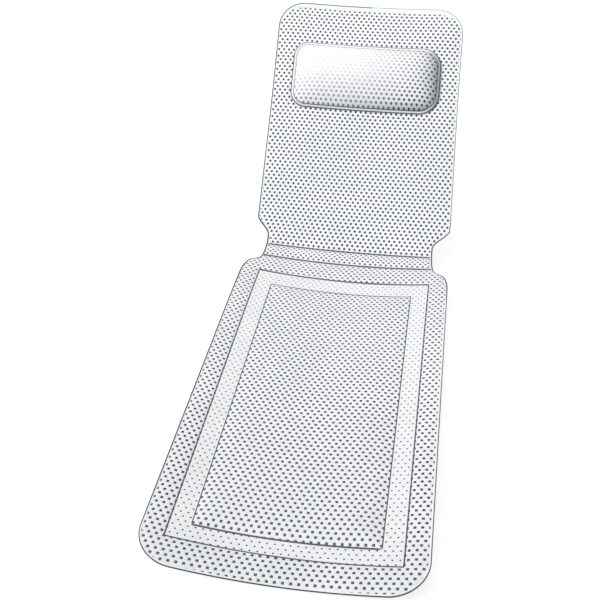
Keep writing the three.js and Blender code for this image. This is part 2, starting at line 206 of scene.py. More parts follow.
# Foamed PVC on a polyester yarn net, dipped and cured: the skin is a matt white with a
# fine pebbled grain of about 1 mm, and its tone drifts a little over hand widths. An
# attribute mixes in a blue grey as painted shade.
def foamed_pvc(name, light, dark, grain_mm=1.1, thin=None):
    made = bpy.data.materials.new(name)
    made.use_nodes = True
    tree = made.node_tree
    tree.nodes.clear()
    place = node(tree, "ShaderNodeTexCoord").outputs["Object"]
    grain = node(tree, "ShaderNodeTexNoise", {"Vector": place, "Scale": 1000 / grain_mm, "Detail": 3.0})
    drift = node(tree, "ShaderNodeTexNoise", {"Vector": place, "Scale": 14.0, "Detail": 2.0})
    grain, drift = grain.outputs["Fac"], drift.outputs["Fac"]
    tone = worked(tree, "MULTIPLY", worked(tree, "MULTIPLY_ADD", grain, 0.35, 0.3), drift)
    tone = node(tree, "ShaderNodeMapRange", {0: tone, 1: 0.12, 2: 0.34})
    colour = mixed(tree, tone.outputs[0], linear(dark), linear(light))
    if thin:
        thinned = node(tree, "ShaderNodeAttribute", attribute_name="thinned").outputs["Fac"]
        colour = mixed(tree, thinned, colour, linear(thin))
    rough = node(tree, "ShaderNodeMapRange", {0: grain, 3: 0.48, 4: 0.66})
    bump = node(tree, "ShaderNodeBump", {"Height": grain, "Strength": 0.25, "Distance": 0.0003})
    shader = node(
        tree,
        "ShaderNodeBsdfPrincipled",
        {
            "Base Color": colour,
            "Roughness": rough.outputs[0],
            "Normal": bump.outputs[0],
            "IOR": 1.53,
        },
    )
    node(tree, "ShaderNodeOutputMaterial", {"Surface": shader.outputs[0]})
    return made


mat_pvc = foamed_pvc("foamed_pvc_mat", "#f6f7f9", "#eef0f2", thin="#7f8b95")

# The punching tool: one square hole with soft lips in a cell of the sheet, repeated over
# staggered rows. Cells share their corners, so the merged sheet has no gaps.
punching = bpy.data.node_groups.new("punched_sheet", "GeometryNodeTree")
for label, kind, value in (
    ("Pitch", "NodeSocketFloat", PITCH),
    ("Row spacing", "NodeSocketFloat", SEAT_ROW),
    ("Columns", "NodeSocketInt", 41),
    ("Rows", "NodeSocketInt", 10),
    ("First row stagger", "NodeSocketInt", 0),
    ("Hole width", "NodeSocketFloat", 4.0),
    ("Hole length", "NodeSocketFloat", 4.0),
    ("Hole squareness", "NodeSocketFloat", 0.12),
    ("Lip width", "NodeSocketFloat", 0.6),
    ("Lip drop", "NodeSocketFloat", 0.3),
    ("Skin thickness", "NodeSocketFloat", 0.75),
    ("Skin", "NodeSocketMaterial", None),
):
    socket = punching.interface.new_socket(label, in_out="INPUT", socket_type=kind)
    if value is not None:
        socket.default_value = value
punching.interface.new_socket("Sheet", in_out="OUTPUT", socket_type="NodeSocketGeometry")
size = node(punching, "NodeGroupInput").outputs
half_pitch = worked(punching, "MULTIPLY", size["Pitch"], 0.5)
half_row = worked(punching, "MULTIPLY", size["Row spacing"], 0.5)
half_hole = worked(punching, "MULTIPLY", size["Hole width"], 0.5)
half_slot = worked(punching, "MULTIPLY", size["Hole length"], 0.5)
lip_half = worked(punching, "ADD", half_hole, size["Lip width"])
lip_slot = worked(punching, "ADD", half_slot, size["Lip width"])
ring = node(punching, "GeometryNodeMeshCircle", {"Vertices": 8, "Radius": 1.0}, fill_type="NONE").outputs[0]
spot = node(punching, "GeometryNodeInputPosition").outputs[0]
ring = node(
    punching,
    "GeometryNodeStoreNamedAttribute",
    {"Geometry": ring, "Name": "spot", "Value": spot},
    data_type="FLOAT_VECTOR",
    domain="POINT",
).outputs[0]
spot = node(punching, "GeometryNodeInputNamedAttribute", {"Name": "spot"}, data_type="FLOAT_VECTOR")
spot_x, spot_y, _ = node(punching, "ShaderNodeSeparateXYZ", {0: spot.outputs[0]}).outputs
corner = worked(punching, "MULTIPLY", spot_x, spot_y)
corner = worked(punching, "ABSOLUTE", corner)
corner = worked(punching, "MULTIPLY", corner, 2.0)
square = worked(punching, "MULTIPLY_ADD", corner, size["Hole squareness"], 1.0)
cell_x = worked(punching, "ROUND", spot_x)
cell_y = worked(punching, "ROUND", spot_y)
hole_x = worked(punching, "MULTIPLY", spot_x, square)
hole_y = worked(punching, "MULTIPLY", spot_y, square)
lip_depth = worked(punching, "MULTIPLY", size["Lip drop"], -0.2)
edge_depth = worked(punching, "MULTIPLY", size["Lip drop"], -1.0)
wall_depth = worked(punching, "MULTIPLY", size["Skin thickness"], -1.0)
chosen = True
for across, along, width, length, depth in (
    (cell_x, cell_y, half_pitch, half_row, 0.0),
    (hole_x, hole_y, lip_half, lip_slot, lip_depth),
    (hole_x, hole_y, half_hole, half_slot, edge_depth),
    (hole_x, hole_y, half_hole, half_slot, wall_depth),
):
    to_x = worked(punching, "MULTIPLY", across, width)
    to_y = worked(punching, "MULTIPLY", along, length)
    to = node(punching, "ShaderNodeCombineXYZ", {"X": to_x, "Y": to_y, "Z": depth}).outputs[0]
    if chosen is not True:
        drawn = node(punching, "GeometryNodeExtrudeMesh", {"Mesh": ring, "Offset Scale": 0.0}, mode="EDGES")
        if chosen is not None:
            punching.links.new(chosen, drawn.inputs["Selection"])
        ring, chosen = drawn.outputs["Mesh"], drawn.outputs["Top"]
    else:
        chosen = None
    ring = node(
        punching,
        "GeometryNodeSetPosition",
        {"Geometry": ring, "Position": to, **({"Selection": chosen} if chosen else {})},
    ).outputs[0]
across_span = worked(punching, "SUBTRACT", size["Columns"], 1.0)
across_span = worked(punching, "MULTIPLY", across_span, size["Pitch"])
along_span = worked(punching, "SUBTRACT", size["Rows"], 1.0)
along_span = worked(punching, "MULTIPLY", along_span, size["Row spacing"])
places = node(
    punching,
    "GeometryNodeMeshGrid",
    {"Size X": across_span, "Size Y": along_span, "Vertices X": size["Columns"], "Vertices Y": size["Rows"]},
).outputs[0]
where = node(punching, "GeometryNodeInputPosition").outputs[0]
_, row, _ = node(punching, "ShaderNodeSeparateXYZ", {0: where}).outputs
half_span = worked(punching, "MULTIPLY", along_span, 0.5)
from_first = worked(punching, "ADD", row, half_span)
row = worked(punching, "DIVIDE", from_first, size["Row spacing"])
row = worked(punching, "ROUND", row)
row = worked(punching, "ADD", row, size["First row stagger"])
odd = worked(punching, "MODULO", row, 2.0)
stagger = worked(punching, "MULTIPLY", odd, half_pitch)
stagger = node(punching, "ShaderNodeCombineXYZ", {"X": stagger, "Y": half_span}).outputs[0]
places = node(punching, "GeometryNodeSetPosition", {"Geometry": places, "Offset": stagger}).outputs[0]
sheet = node(punching, "GeometryNodeInstanceOnPoints", {"Points": places, "Instance": ring}).outputs[0]
sheet = node(punching, "GeometryNodeRealizeInstances", {"Geometry": sheet}).outputs[0]
sheet = node(punching, "GeometryNodeMergeByDistance", {"Geometry": sheet, "Distance": 0.01}).outputs[0]
sheet = node(punching, "GeometryNodeSetMaterial", {"Geometry": sheet, "Material": size["Skin"]}).outputs[0]
node(punching, "NodeGroupOutput", {0: sheet})


def made_flat(tree, **inputs):
    """The flat points and faces of what a tree makes; underscores stand for spaces."""
    holder = bpy.data.objects.new("holder", bpy.data.meshes.new("holder"))
    bpy.context.collection.objects.link(holder)
    modifier = holder.modifiers.new("punching", "NODES")
    modifier.node_group = tree
    sockets = {item.name: item.identifier for item in tree.interface.items_tree}
    for name, value in inputs.items():
        modifier[sockets[name.replace("_", " ")]] = value
    bpy.context.view_layer.update()
    found = bpy.data.meshes.new_from_object(holder.evaluated_get(bpy.context.evaluated_depsgraph_get()))
    points = np.zeros(len(found.vertices) * 3)
    found.vertices.foreach_get("co", points)
    faces = np.zeros(len(found.loops), int)
    found.loops.foreach_get("vertex_index", faces)
    bpy.data.objects.remove(holder)
    bpy.data.meshes.remove(found)
    points, faces = points.reshape(-1, 3), faces.reshape(-1, 4)
    a, b, c = (points[faces[:, i], :2] for i in range(3))
    turning = (b - a)[:, 0] * (c - b)[:, 1] - (b - a)[:, 1] * (c - b)[:, 0]
    return points, faces[:, ::-1] if turning.sum() < 0 else faces


def piece(name, points, faces, material, flip=False, **values):
    """A smooth mesh from points in metres, without the faces that a cut has closed up."""
    faces = np.asarray(faces)
    corners = points[faces]
    diagonals = np.cross(corners[:, 2] - corners[:, 0], corners[:, 3] - corners[:, 1])
    faces = faces[np.linalg.norm(diagonals, axis=1) > 2e-9]
    used, faces = np.unique(faces, return_inverse=True)
    faces = faces.reshape(-1, 4)
    mesh = bpy.data.meshes.new(name)
    mesh.from_pydata(points[used].tolist(), [], (faces[:, ::-1] if flip else faces).tolist())
    for label, value in values.items():
        mesh.attributes.new(label, "FLOAT", "POINT").data.foreach_set("value", value[used])
    mesh.materials.append(material)
    mesh.shade_smooth()
    made = bpy.data.objects.new(name, mesh)
    bpy.context.collection.objects.link(made)
    return made


def kept(faces, flat, across, along):
    """The faces with a corner that the cut has left in its place."""
    moved = np.hypot(across - flat[:, 0], along - flat[:, 1]) > 0.01
    return faces[~moved[faces].all(axis=1)]


def raised(surface, across, along, relief):
    """Points on a surface in metres, moved off it squarely by a relief in millimetres."""
    step = 0.25
    point = surface(across, along)
    sideways = surface(across + step, along) - surface(across - step, along)
    lengthways = surface(across, along + step) - surface(across, along - step)
    normal = np.cross(sideways, lengthways)
    normal /= np.maximum(np.linalg.norm(normal, axis=1, keepdims=True), 1e-12)
    return point + normal * np.asarray(relief).reshape(-1, 1) / 1000


def cut_to_mat(across, along, rim, start, end):
    """Points beyond the mat's rim or a section's ends are drawn back to them."""
    along = np.clip(along, start, end)
    side = np.abs(across)
    step = 0.5
    slope = (half_width(along + step) - half_width(along - step)) / (2 * step)
    straight = (along > FOOT_CORNER) & (along < MAT_LENGTH - HEAD_CORNER)
    limit = half_width(along) - rim * np.sqrt(1 + np.where(straight, slope, 0) ** 2)
    side = np.where(straight, np.minimum(side, limit), side)
    for half, radius, middle, way, edge in (
        (SEAT_HALF_WIDTH, FOOT_CORNER, FOOT_CORNER, -1, rim),
        (BACK_HALF_WIDTH, HEAD_CORNER, MAT_LENGTH - HEAD_CORNER, 1, HEAD_RIM),
    ):
        ended = way * (along - middle) > 0
        out = way * (along - middle)
        reach_along = radius - edge
        reach_across = radius - rim
        past = side - (half - radius)
        far = np.hypot(np.maximum(past, 0) / reach_across, np.maximum(out, 0) / reach_along)
        in_corner = ended & (past > 0) & (far > 1)
        side = np.where(in_corner, half - radius + past / np.maximum(far, 1), side)
        out = np.where(in_corner, out / np.maximum(far, 1), np.minimum(out, reach_along))
        along = np.where(ended, middle + way * out, along)
    return np.sign(across) * side, along


def punched(lattice, skin, **sizes):
    """A flat sheet punched on a lattice: points (across, along, height) and faces."""
    flat, faces = made_flat(
        punching,
        Pitch=lattice.pitch,
        Row_spacing=lattice.row_spacing,
        Rows=lattice.rows,
        First_row_stagger=lattice.stagger,
        Hole_width=lattice.hole[0],
        Hole_length=lattice.hole[1],
        Hole_squareness=lattice.hole[2],
        Skin=skin,
        **sizes,
    )
    flat[:, 1] += lattice.first_row + lattice.slant * flat[:, 0]
    flat[:, 0] += lattice.sideways
    return flat, faces


def bottom_sheet(name, lattice, start, end, node_name, body):
    flat, faces = punched(lattice, mat_pvc)
    across, along = cut_to_mat(flat[:, 0], flat[:, 1], RIM, start, end)
    faces = kept(faces, flat, across, along)
    made = piece(name, on_mat(across, along, UNDERSIDE - flat[:, 2]), faces, mat_pvc, flip=True)
    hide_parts(node_name)
    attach(made, body)
    return made


seat_rows, back_rows = 106, 72
seat_below = Lattice(LOWER_FOLD - SEAT_ROW * seat_rows, PITCH, SEAT_ROW, seat_rows, 0, SEAT_HOLE)
waist_below = Lattice(LOWER_FOLD + WAIST_ROW, PITCH, WAIST_ROW, 3, 1, BACK_HOLE)
back_below = Lattice(UPPER_FOLD + BACK_ROW, PITCH, BACK_ROW, back_rows, 1, BACK_HOLE)
seat_end = LOWER_FOLD - SEAT_ROW / 2
waist_start = LOWER_FOLD + WAIST_ROW / 2
waist_end = UPPER_FOLD - WAIST_ROW / 2
back_start = UPPER_FOLD + BACK_ROW / 2
for name, lattice, start, end, body in (
    ("seat_underside", seat_below, 0, seat_end, "seat"),
    ("waist_underside", waist_below, waist_start, waist_end, "waist"),
    ("back_underside", back_below, back_start, MAT_LENGTH, "back"),
):
    made = bottom_sheet(name, lattice, start, end, f"{body}_bottom_sheet", body)

# Soft cores
# Grey open-cell foam cut to each padded field. It shows dark through the holes of the
# sheet above it, which is drawn tight over it.
BAND_OUTER = (156.0, 44.7, 668.0)
BAND_INNER = (126.0, 71.3, 629.0)
OUTER_LINE = (0.95, 0.95, 1.7)
INNER_LINE = (0.7, 1.2, 0.9)
FOLD_GAP = 2.0
CENTRE = (6.0, 26.0)
BORDER = (1.5, 12.0)
WAIST = (3.6, 11.0)
BACK = (4.6, 32.0)


def crown(size, inside):
    """The rise of a soft field at a distance inside its welds, up to its height."""
    height, run = size
    return height * np.sin(math.pi / 2 * np.clip(inside / run, 0, 1))


def soft_least(*distances):
    """The least of several distances, with its corners rounded."""
    return sum(np.maximum(distance, 0.01) ** -4.0 for distance in distances) ** -0.25


def sampled(grid, step, across, along):
    """A value at a point, from a grid of values a step apart."""
    a = np.clip(across / step, 0, grid.shape[0] - 1.001)
    b = np.clip(along / step, 0, grid.shape[1] - 1.001)
    i, j = a.astype(int), b.astype(int)
    s, t = a - i, b - j
    near = grid[i, j] * (1 - t) + grid[i, j + 1] * t
    return near * (1 - s) + (grid[i + 1, j] * (1 - t) + grid[i + 1, j + 1] * t) * s


EDGE_STEP = 3.0
edge_along = np.linspace(0, MAT_LENGTH, 830)
edge_points = np.stack([half_width(edge_along), edge_along], axis=1)
grid_u, grid_v = np.meshgrid(np.arange(66) * EDGE_STEP, np.arange(417) * EDGE_STEP, indexing="ij")
to_edge = [
    np.hypot(u[:, None] - edge_points[:, 0], v[:, None] - edge_points[:, 1]).min(axis=1)
    for u, v in zip(grid_u, grid_v)
]
edge_grid = np.stack(to_edge)
edge_grid = np.minimum(edge_grid, np.minimum(grid_v, MAT_LENGTH - grid_v))
edge_grid = np.where(grid_u > half_width(grid_v), -edge_grid, edge_grid)


def off_rectangle(half, foot, head, across, along):
    out_side = np.maximum(np.abs(across) - half, 0)
    out_end = np.maximum(np.maximum(foot - along, along - head), 0)
    return np.hypot(out_side, out_end)


def in_rectangle(half, foot, head, across, along):
    return soft_least(half - np.abs(across), along - foot, head - along)


def centre_inside(across, along):
    return in_rectangle(*BAND_INNER, across, along)


def border_inside(across, along):
    to_edge = sampled(edge_grid, EDGE_STEP, np.abs(across), along) - RIM
    return soft_least(off_rectangle(*BAND_OUTER, across, along), to_edge, LOWER_FOLD - FOLD_GAP - along)


def waist_inside(across, along):
    return soft_least(
        half_width(along) - np.abs(across) - RIM,
        along - LOWER_FOLD - FOLD_GAP,
        UPPER_FOLD - along - FOLD_GAP,
    )


def back_inside(across, along):
    to_edge = sampled(edge_grid, EDGE_STEP, np.abs(across), along) - RIM
    return soft_least(along - UPPER_FOLD - FOLD_GAP, to_edge, MAT_LENGTH - HEAD_RIM - along)


# Open-cell polyurethane foam: soft, dull and dark grey, with cells of about 1.5 mm. An
# attribute mixes in near white as painted light on the foam seen through the holes.
foam = bpy.data.materials.new("open_cell_foam")
foam.use_nodes = True
foam.node_tree.nodes.clear()
place = node(foam.node_tree, "ShaderNodeTexCoord").outputs["Object"]
cells = node(foam.node_tree, "ShaderNodeTexVoronoi", {"Vector": place, "Scale": 650.0})
shade = mixed(foam.node_tree, cells.outputs["Distance"], linear("#2c3033"), linear("#474c4f"))
pressed = node(foam.node_tree, "ShaderNodeAttribute", attribute_name="pressed").outputs["Fac"]
shade = mixed(foam.node_tree, pressed, shade, linear("#f7f8f8"))
pores = node(
    foam.node_tree,
    "ShaderNodeBump",
    {"Height": cells.outputs["Distance"], "Strength": 0.5, "Distance": 0.0006},
)
shader = node(
    foam.node_tree,
    "ShaderNodeBsdfPrincipled",
    {"Base Color": shade, "Roughness": 0.95, "Normal": pores.outputs[0], "IOR": 1.5},
)
node(foam.node_tree, "ShaderNodeOutputMaterial", {"Surface": shader.outputs[0]})

CORE_DROP = 0.45
CORE_BOTTOM = -1.6


def cut_to_rectangle(half, foot, head, across, along):
    return np.clip(across, -half, half), np.clip(along, foot, head)


def cut_out_rectangle(half, foot, head, across, along):
    """Points inside a rectangle go to its nearest side."""
    to_side, to_foot, to_head = half - np.abs(across), along - foot, head - along
    least = np.minimum(np.minimum(to_side, to_foot), to_head)
    inside = least > 0
    across = np.where(inside & (to_side == least), np.where(across < 0, -half, half), across)
    along = np.where(inside & (to_foot == least) & (to_side > least), foot, along)
    along = np.where(inside & (to_head == least) & (to_side > least) & (to_foot > least), head, along)
    return across, along


def beside_line(rectangle, line, way):
    """A rectangle on the outer (1) or inner (-1) side of the weld line round it."""
    (half, foot, head), (side_line, foot_line, head_line) = rectangle, line
    return half + way * side_line, foot - way * foot_line, head + way * head_line


def core(name, surface, cut, start, end, node_name, body, bottom=CORE_BOTTOM, pressed=None):
    """A closed slab of foam under a padded field, on a grid of about 5 mm."""
    columns = np.linspace(-SEAT_HALF_WIDTH, SEAT_HALF_WIDTH, 77)
    rows = np.linspace(start, end, max(int((end - start) / 5), 3) + 1)
    whole = np.stack([x.ravel() for x in np.meshgrid(columns, rows)], axis=1)
    across, along = cut(whole[:, 0], whole[:, 1])
    count = len(columns)
    first = (np.arange(len(rows) - 1)[:, None] * count + np.arange(count - 1)).ravel()
    faces = np.stack([first, first + 1, first + 1 + count, first + count], axis=1)
    faces = kept(faces, whole, across, along)
    flat = np.stack([across, along], axis=1)
    corners = flat[faces]
    one, two = corners[:, 2] - corners[:, 0], corners[:, 3] - corners[:, 1]
    faces = faces[np.abs(one[:, 0] * two[:, 1] - one[:, 1] * two[:, 0]) > 1e-3]
    edges = np.concatenate([faces[:, [i, (i + 1) % 4]] for i in range(4)])
    keys = {tuple(edge) for edge in edges.tolist()}
    rim = np.array([edge for edge in edges.tolist() if (edge[1], edge[0]) not in keys])
    below = len(flat)
    walls = np.stack([rim[:, 1], rim[:, 0], rim[:, 0] + below, rim[:, 1] + below], axis=1)
    # Painted light: where the foam is painted paler, its top also stands up to 0.3 mm higher.
    pale = np.zeros(len(flat)) if pressed is None else pressed(across, along)
    top = raised(surface, across, along, 0.3 * pale - CORE_DROP)
    points = np.concatenate([top, on_mat(across, along, bottom)])
    faces = np.concatenate([faces, faces[:, ::-1] + below, walls])
    made = piece(name, points, faces, foam, pressed=np.tile(pale, 2))
    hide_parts(node_name)
    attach(made, body)


def cut_centre(across, along):
    return cut_to_rectangle(*beside_line(BAND_INNER, INNER_LINE, -1), across, along)


def cut_border(across, along):
    across, along = cut_out_rectangle(*beside_line(BAND_OUTER, OUTER_LINE, 1), across, along)
    return cut_to_mat(across, along, RIM, 0, seat_end)


def cut_waist(across, along):
    return cut_to_mat(across, along, RIM, waist_start, waist_end)


def cut_back(across, along):
    return cut_to_mat(across, along, RIM, back_start, MAT_LENGTH)


def filled_out(rise, inside, cut, ends, step, pressure, most):
    """The rise of a padded sheet when its foam fills it out. The sheet is simulated as
    cloth that is held down along its welds, with a light pressure under it."""
    columns = np.arange(-SEAT_HALF_WIDTH, SEAT_HALF_WIDTH + step, step)
    rows = np.arange(ends[0], ends[1] + step, step)
    whole = np.stack([x.ravel() for x in np.meshgrid(columns, rows, indexing="ij")], axis=1)
    across, along = cut(whole[:, 0], whole[:, 1])
    count = len(rows)
    first = (np.arange(len(columns) - 1)[:, None] * count + np.arange(count - 1)).ravel()
    faces = np.stack([first, first + count, first + count + 1, first + 1], axis=1)
    in_place = np.hypot(across - whole[:, 0], along - whole[:, 1]) < 0.01
    used, faces = np.unique(faces[in_place[faces].all(axis=1)], return_inverse=True)
    faces = faces.reshape(-1, 4)
    points = (np.column_stack([whole, rise(*whole.T)]) / 1000)[used]
    welded = np.bincount(faces.ravel(), minlength=len(used)) < 4
    mesh = bpy.data.meshes.new("filled")
    mesh.from_pydata(points.tolist(), [], faces.tolist())
    holder = bpy.data.objects.new("filled", mesh)
    bpy.context.collection.objects.link(holder)
    holder.vertex_groups.new(name="welded").add(np.flatnonzero(welded).tolist(), 1.0, "REPLACE")
    cloth = holder.modifiers.new("cloth", "CLOTH")
    cloth.settings.vertex_group_mass = "welded"
    cloth.settings.quality = 5
    cloth.settings.mass = 0.3
    cloth.settings.tension_stiffness = cloth.settings.compression_stiffness = 15.0
    cloth.settings.shear_stiffness = 5.0
    cloth.settings.bending_stiffness = 0.5
    cloth.settings.use_pressure = True
    cloth.settings.uniform_pressure_force = pressure
    cloth.settings.effector_weights.gravity = 0.0
    cloth.collision_settings.use_collision = False
    for step_number in range(1, 21):
        bpy.context.scene.frame_set(step_number)
    found = holder.evaluated_get(bpy.context.evaluated_depsgraph_get()).data
    places = np.zeros(len(used) * 3)
    found.vertices.foreach_get("co", places)
    bpy.data.objects.remove(holder)
    bpy.context.scene.frame_set(1)
    moved = np.zeros(len(whole))
    moved[used] = (places.reshape(-1, 3)[:, 2] - points[:, 2]) * 1000
    moved = (most * np.tanh(moved / most)).reshape(len(columns), count)

    def filled(across, along):
        more = sampled(moved, step, across + SEAT_HALF_WIDTH, along - ends[0])
        return rise(across, along) + more * crown((1.0, 9.0), inside(across, along))

    return filled


def centre_rise(across, along):
    return crown(CENTRE, centre_inside(across, along)) * np.interp(along, (250, 620), (1, 0.6))


def border_rise(across, along):
    return crown(BORDER, border_inside(across, along))


def waist_rise(across, along):
    return crown(WAIST, waist_inside(across, along))


def back_rise(across, along):
    return crown(BACK, back_inside(across, along))


centre_filled = filled_out(centre_rise, centre_inside, cut_centre, (70, 631), 7.0, 0.3, 1.6)
border_filled = filled_out(border_rise, border_inside, cut_border, (0, seat_end), 6.0, 1.2, 0.6)
waist_filled = filled_out(waist_rise, waist_inside, cut_waist, (waist_start, waist_end), 3.5, 4.0, 0.8)
back_filled = filled_out(back_rise, back_inside, cut_back, (back_start, MAT_LENGTH), 7.0, 0.3, 1.6)


def seat_centre_top(across, along):
    return on_mat(across, along, centre_filled(across, along))


def seat_border_top(across, along):
    return on_mat(across, along, border_filled(across, along))


def waist_top(across, along):
    return on_mat(across, along, waist_filled(across, along))


def back_top(across, along):
    return on_mat(across, along, back_filled(across, along))


# Painted light: the seat's foam is painted paler toward the foot.
core(
    *("seat_centre_core", seat_centre_top, cut_centre, 70, 631, "seat_centre_pad", "seat"),
    pressed=lambda across, along: 0.09 * np.clip(1 - (along - 71) / 260, 0, 1),
)
core(
    *("seat_border_core", seat_border_top, cut_border, 0, seat_end, "seat_border_pad", "seat"),
    pressed=lambda across, along: 0.07 * np.clip(1 - along / 200, 0, 1),
)
core("waist_core", waist_top, cut_waist, waist_start, waist_end, "waist_pad", "waist")
core("back_core", back_top, cut_back, back_start, MAT_LENGTH, "back_pad", "back")

# Padded fields
# The top sheet over each foam core: the same foamed PVC, welded down along straight
# lines so that every field stands up as a soft cushion with rounded sides.


def seat_painted_shade(along):
    """Painted shade on the skin: a little darker over the seat, and darker still toward the foot."""
    return 0.025 * np.clip((740 - along) / 60, 0, 1) + 0.12 * np.clip(1 - along / 400, 0, 1)


# The seat's and back's hole spacing and slant are read from the photograph and rounded. The
# waist's is set so that five rows fit. Single holes don't lie where the photograph has them.
seat_above = Lattice(-30.2, 10.2, 7.3, 108, 0, SEAT_HOLE, sideways=2.8, slant=0.035)
waist_above = Lattice(LOWER_FOLD + WAIST_LENGTH / 6, PITCH, WAIST_LENGTH / 6, 5, 1, WAIST_HOLE)
back_above = Lattice(734.3, PITCH, 6.9, 76, 1, BACK_HOLE, sideways=1.2)


def field(name, surface, cut, lattice, node_name, body):
    flat, faces = punched(lattice, mat_pvc)
    across, along = cut(flat[:, 0], flat[:, 1])
    faces = kept(faces, flat, across, along)
    # The skin gets painted shade, darker toward the foot.
    made = piece(name, raised(surface, across, along, flat[:, 2]), faces, mat_pvc, thinned=seat_painted_shade(along))
    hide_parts(node_name)
    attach(made, body)


field("seat_centre", seat_centre_top, cut_centre, seat_above, "seat_top_sheet", "seat")
field("seat_border", seat_border_top, cut_border, seat_above, "seat_top_sheet", "seat")
field("waist", waist_top, cut_waist, waist_above, "waist_top_sheet", "waist")
field("back", back_top, cut_back, back_above, "back_top_sheet", "back")

# Flat band
# Between the seat's border and centre the sheets are pressed flat on a thin grey web.
# The pressing narrows the holes to small dimples and leaves the white a trace warmer.
band_pvc = foamed_pvc("pressed_pvc_band", "#f8f8f9", "#f1f0f2", thin="#7f8b95")
BAND_HOLE = (2.6, 2.6, 0.12)
WEB_TOP = -0.5


def cut_band(across, along):
    across, along = cut_to_rectangle(*beside_line(BAND_OUTER, OUTER_LINE, -1), across, along)
    return cut_out_rectangle(*beside_line(BAND_INNER, INNER_LINE, 1), across, along)


flat, faces = punched(
    seat_above._replace(hole=BAND_HOLE), band_pvc, Lip_width=0.5, Lip_drop=0.2, Skin_thickness=0.6
)
across, along = cut_band(flat[:, 0], flat[:, 1])
faces = kept(faces, flat, across, along)
# The band gets the same painted shade, darker toward the foot.
band = piece("seat_band", on_mat(across, along, flat[:, 2]), faces, band_pvc, thinned=seat_painted_shade(along))
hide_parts("seat_top_sheet")
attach(band, "seat")


def flat_band(across, along):
    return on_mat(across, along, WEB_TOP + CORE_DROP)


core("seat_band_web", flat_band, cut_band, 40, 672, "seat_border_pad", "seat")

# Weld lines
# A heated bar presses a narrow groove round each field and across both folds. The line's
# dark grey is painted shade, for the shadow in the groove, and the PVC there is a little shiny.
line_shade_pvc = foamed_pvc("pvc_line_painted_shade", "#565d62", "#454b50", grain_mm=2.0)
GROOVE = ((-1.25, 0.1), (-1.0, 0.02), (-0.7, -0.4), (0.7, -0.4), (1.0, 0.02), (1.25, 0.1))


def swept(path, inward, profile, closed):
    """Points and faces of a profile of (inward, height) carried along a flat path; the
    length of the ways inward widens it."""
    count, width = len(path), len(profile)
    offset = np.array([point[0] for point in profile])
    flat = path[:, None, :] + inward[:, None, :] * offset[None, :, None]
    height = np.broadcast_to(np.array([point[1] for point in profile]), (count, width))
    rows = np.arange(count if closed else count - 1)
    first = (rows[:, None] * width + np.arange(width - 1)).ravel()
    after = (((rows + 1) % count)[:, None] * width + np.arange(width - 1)).ravel()
    faces = np.stack([first, after, after + 1, first + 1], axis=1)
    return flat[..., 0].ravel(), flat[..., 1].ravel(), height.ravel(), faces


def rectangle_line(name, rectangle, line):
    half, foot, head = rectangle
    side_line, foot_line, head_line = line
    step = 6.0
    along_count, across_count = int((head - foot) / step), int(2 * half / step)
    runs = [
        ((-half, foot), (half, foot), across_count, foot_line),
        ((half, foot), (half, head), along_count, side_line),
        ((half, head), (-half, head), across_count, head_line),
        ((-half, head), (-half, foot), along_count, side_line),
    ]
    path, inward = [], []
    for start, end, count, half_line in runs:
        start, end = np.array(start), np.array(end)
        way = (end - start) / np.linalg.norm(end - start)
        for i in range(count):
            path.append(start + (end - start) * i / count)
            inward.append(np.array([-way[1], way[0]]) * half_line)
        before = inward[-count - 1] if len(inward) > count else np.array([side_line, 0.0])
        inward[-count] = inward[-count] + before
    path, inward = np.array(path), np.array(inward)
    across, along, height, faces = swept(path, inward, GROOVE, closed=True)
    made = piece(name, on_mat(across, along, height), faces, line_shade_pvc)
    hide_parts("seat_top_sheet")
    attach(made, "seat")


rectangle_line("band_inner_line", BAND_INNER, INNER_LINE)
rectangle_line("band_outer_line", BAND_OUTER, OUTER_LINE)
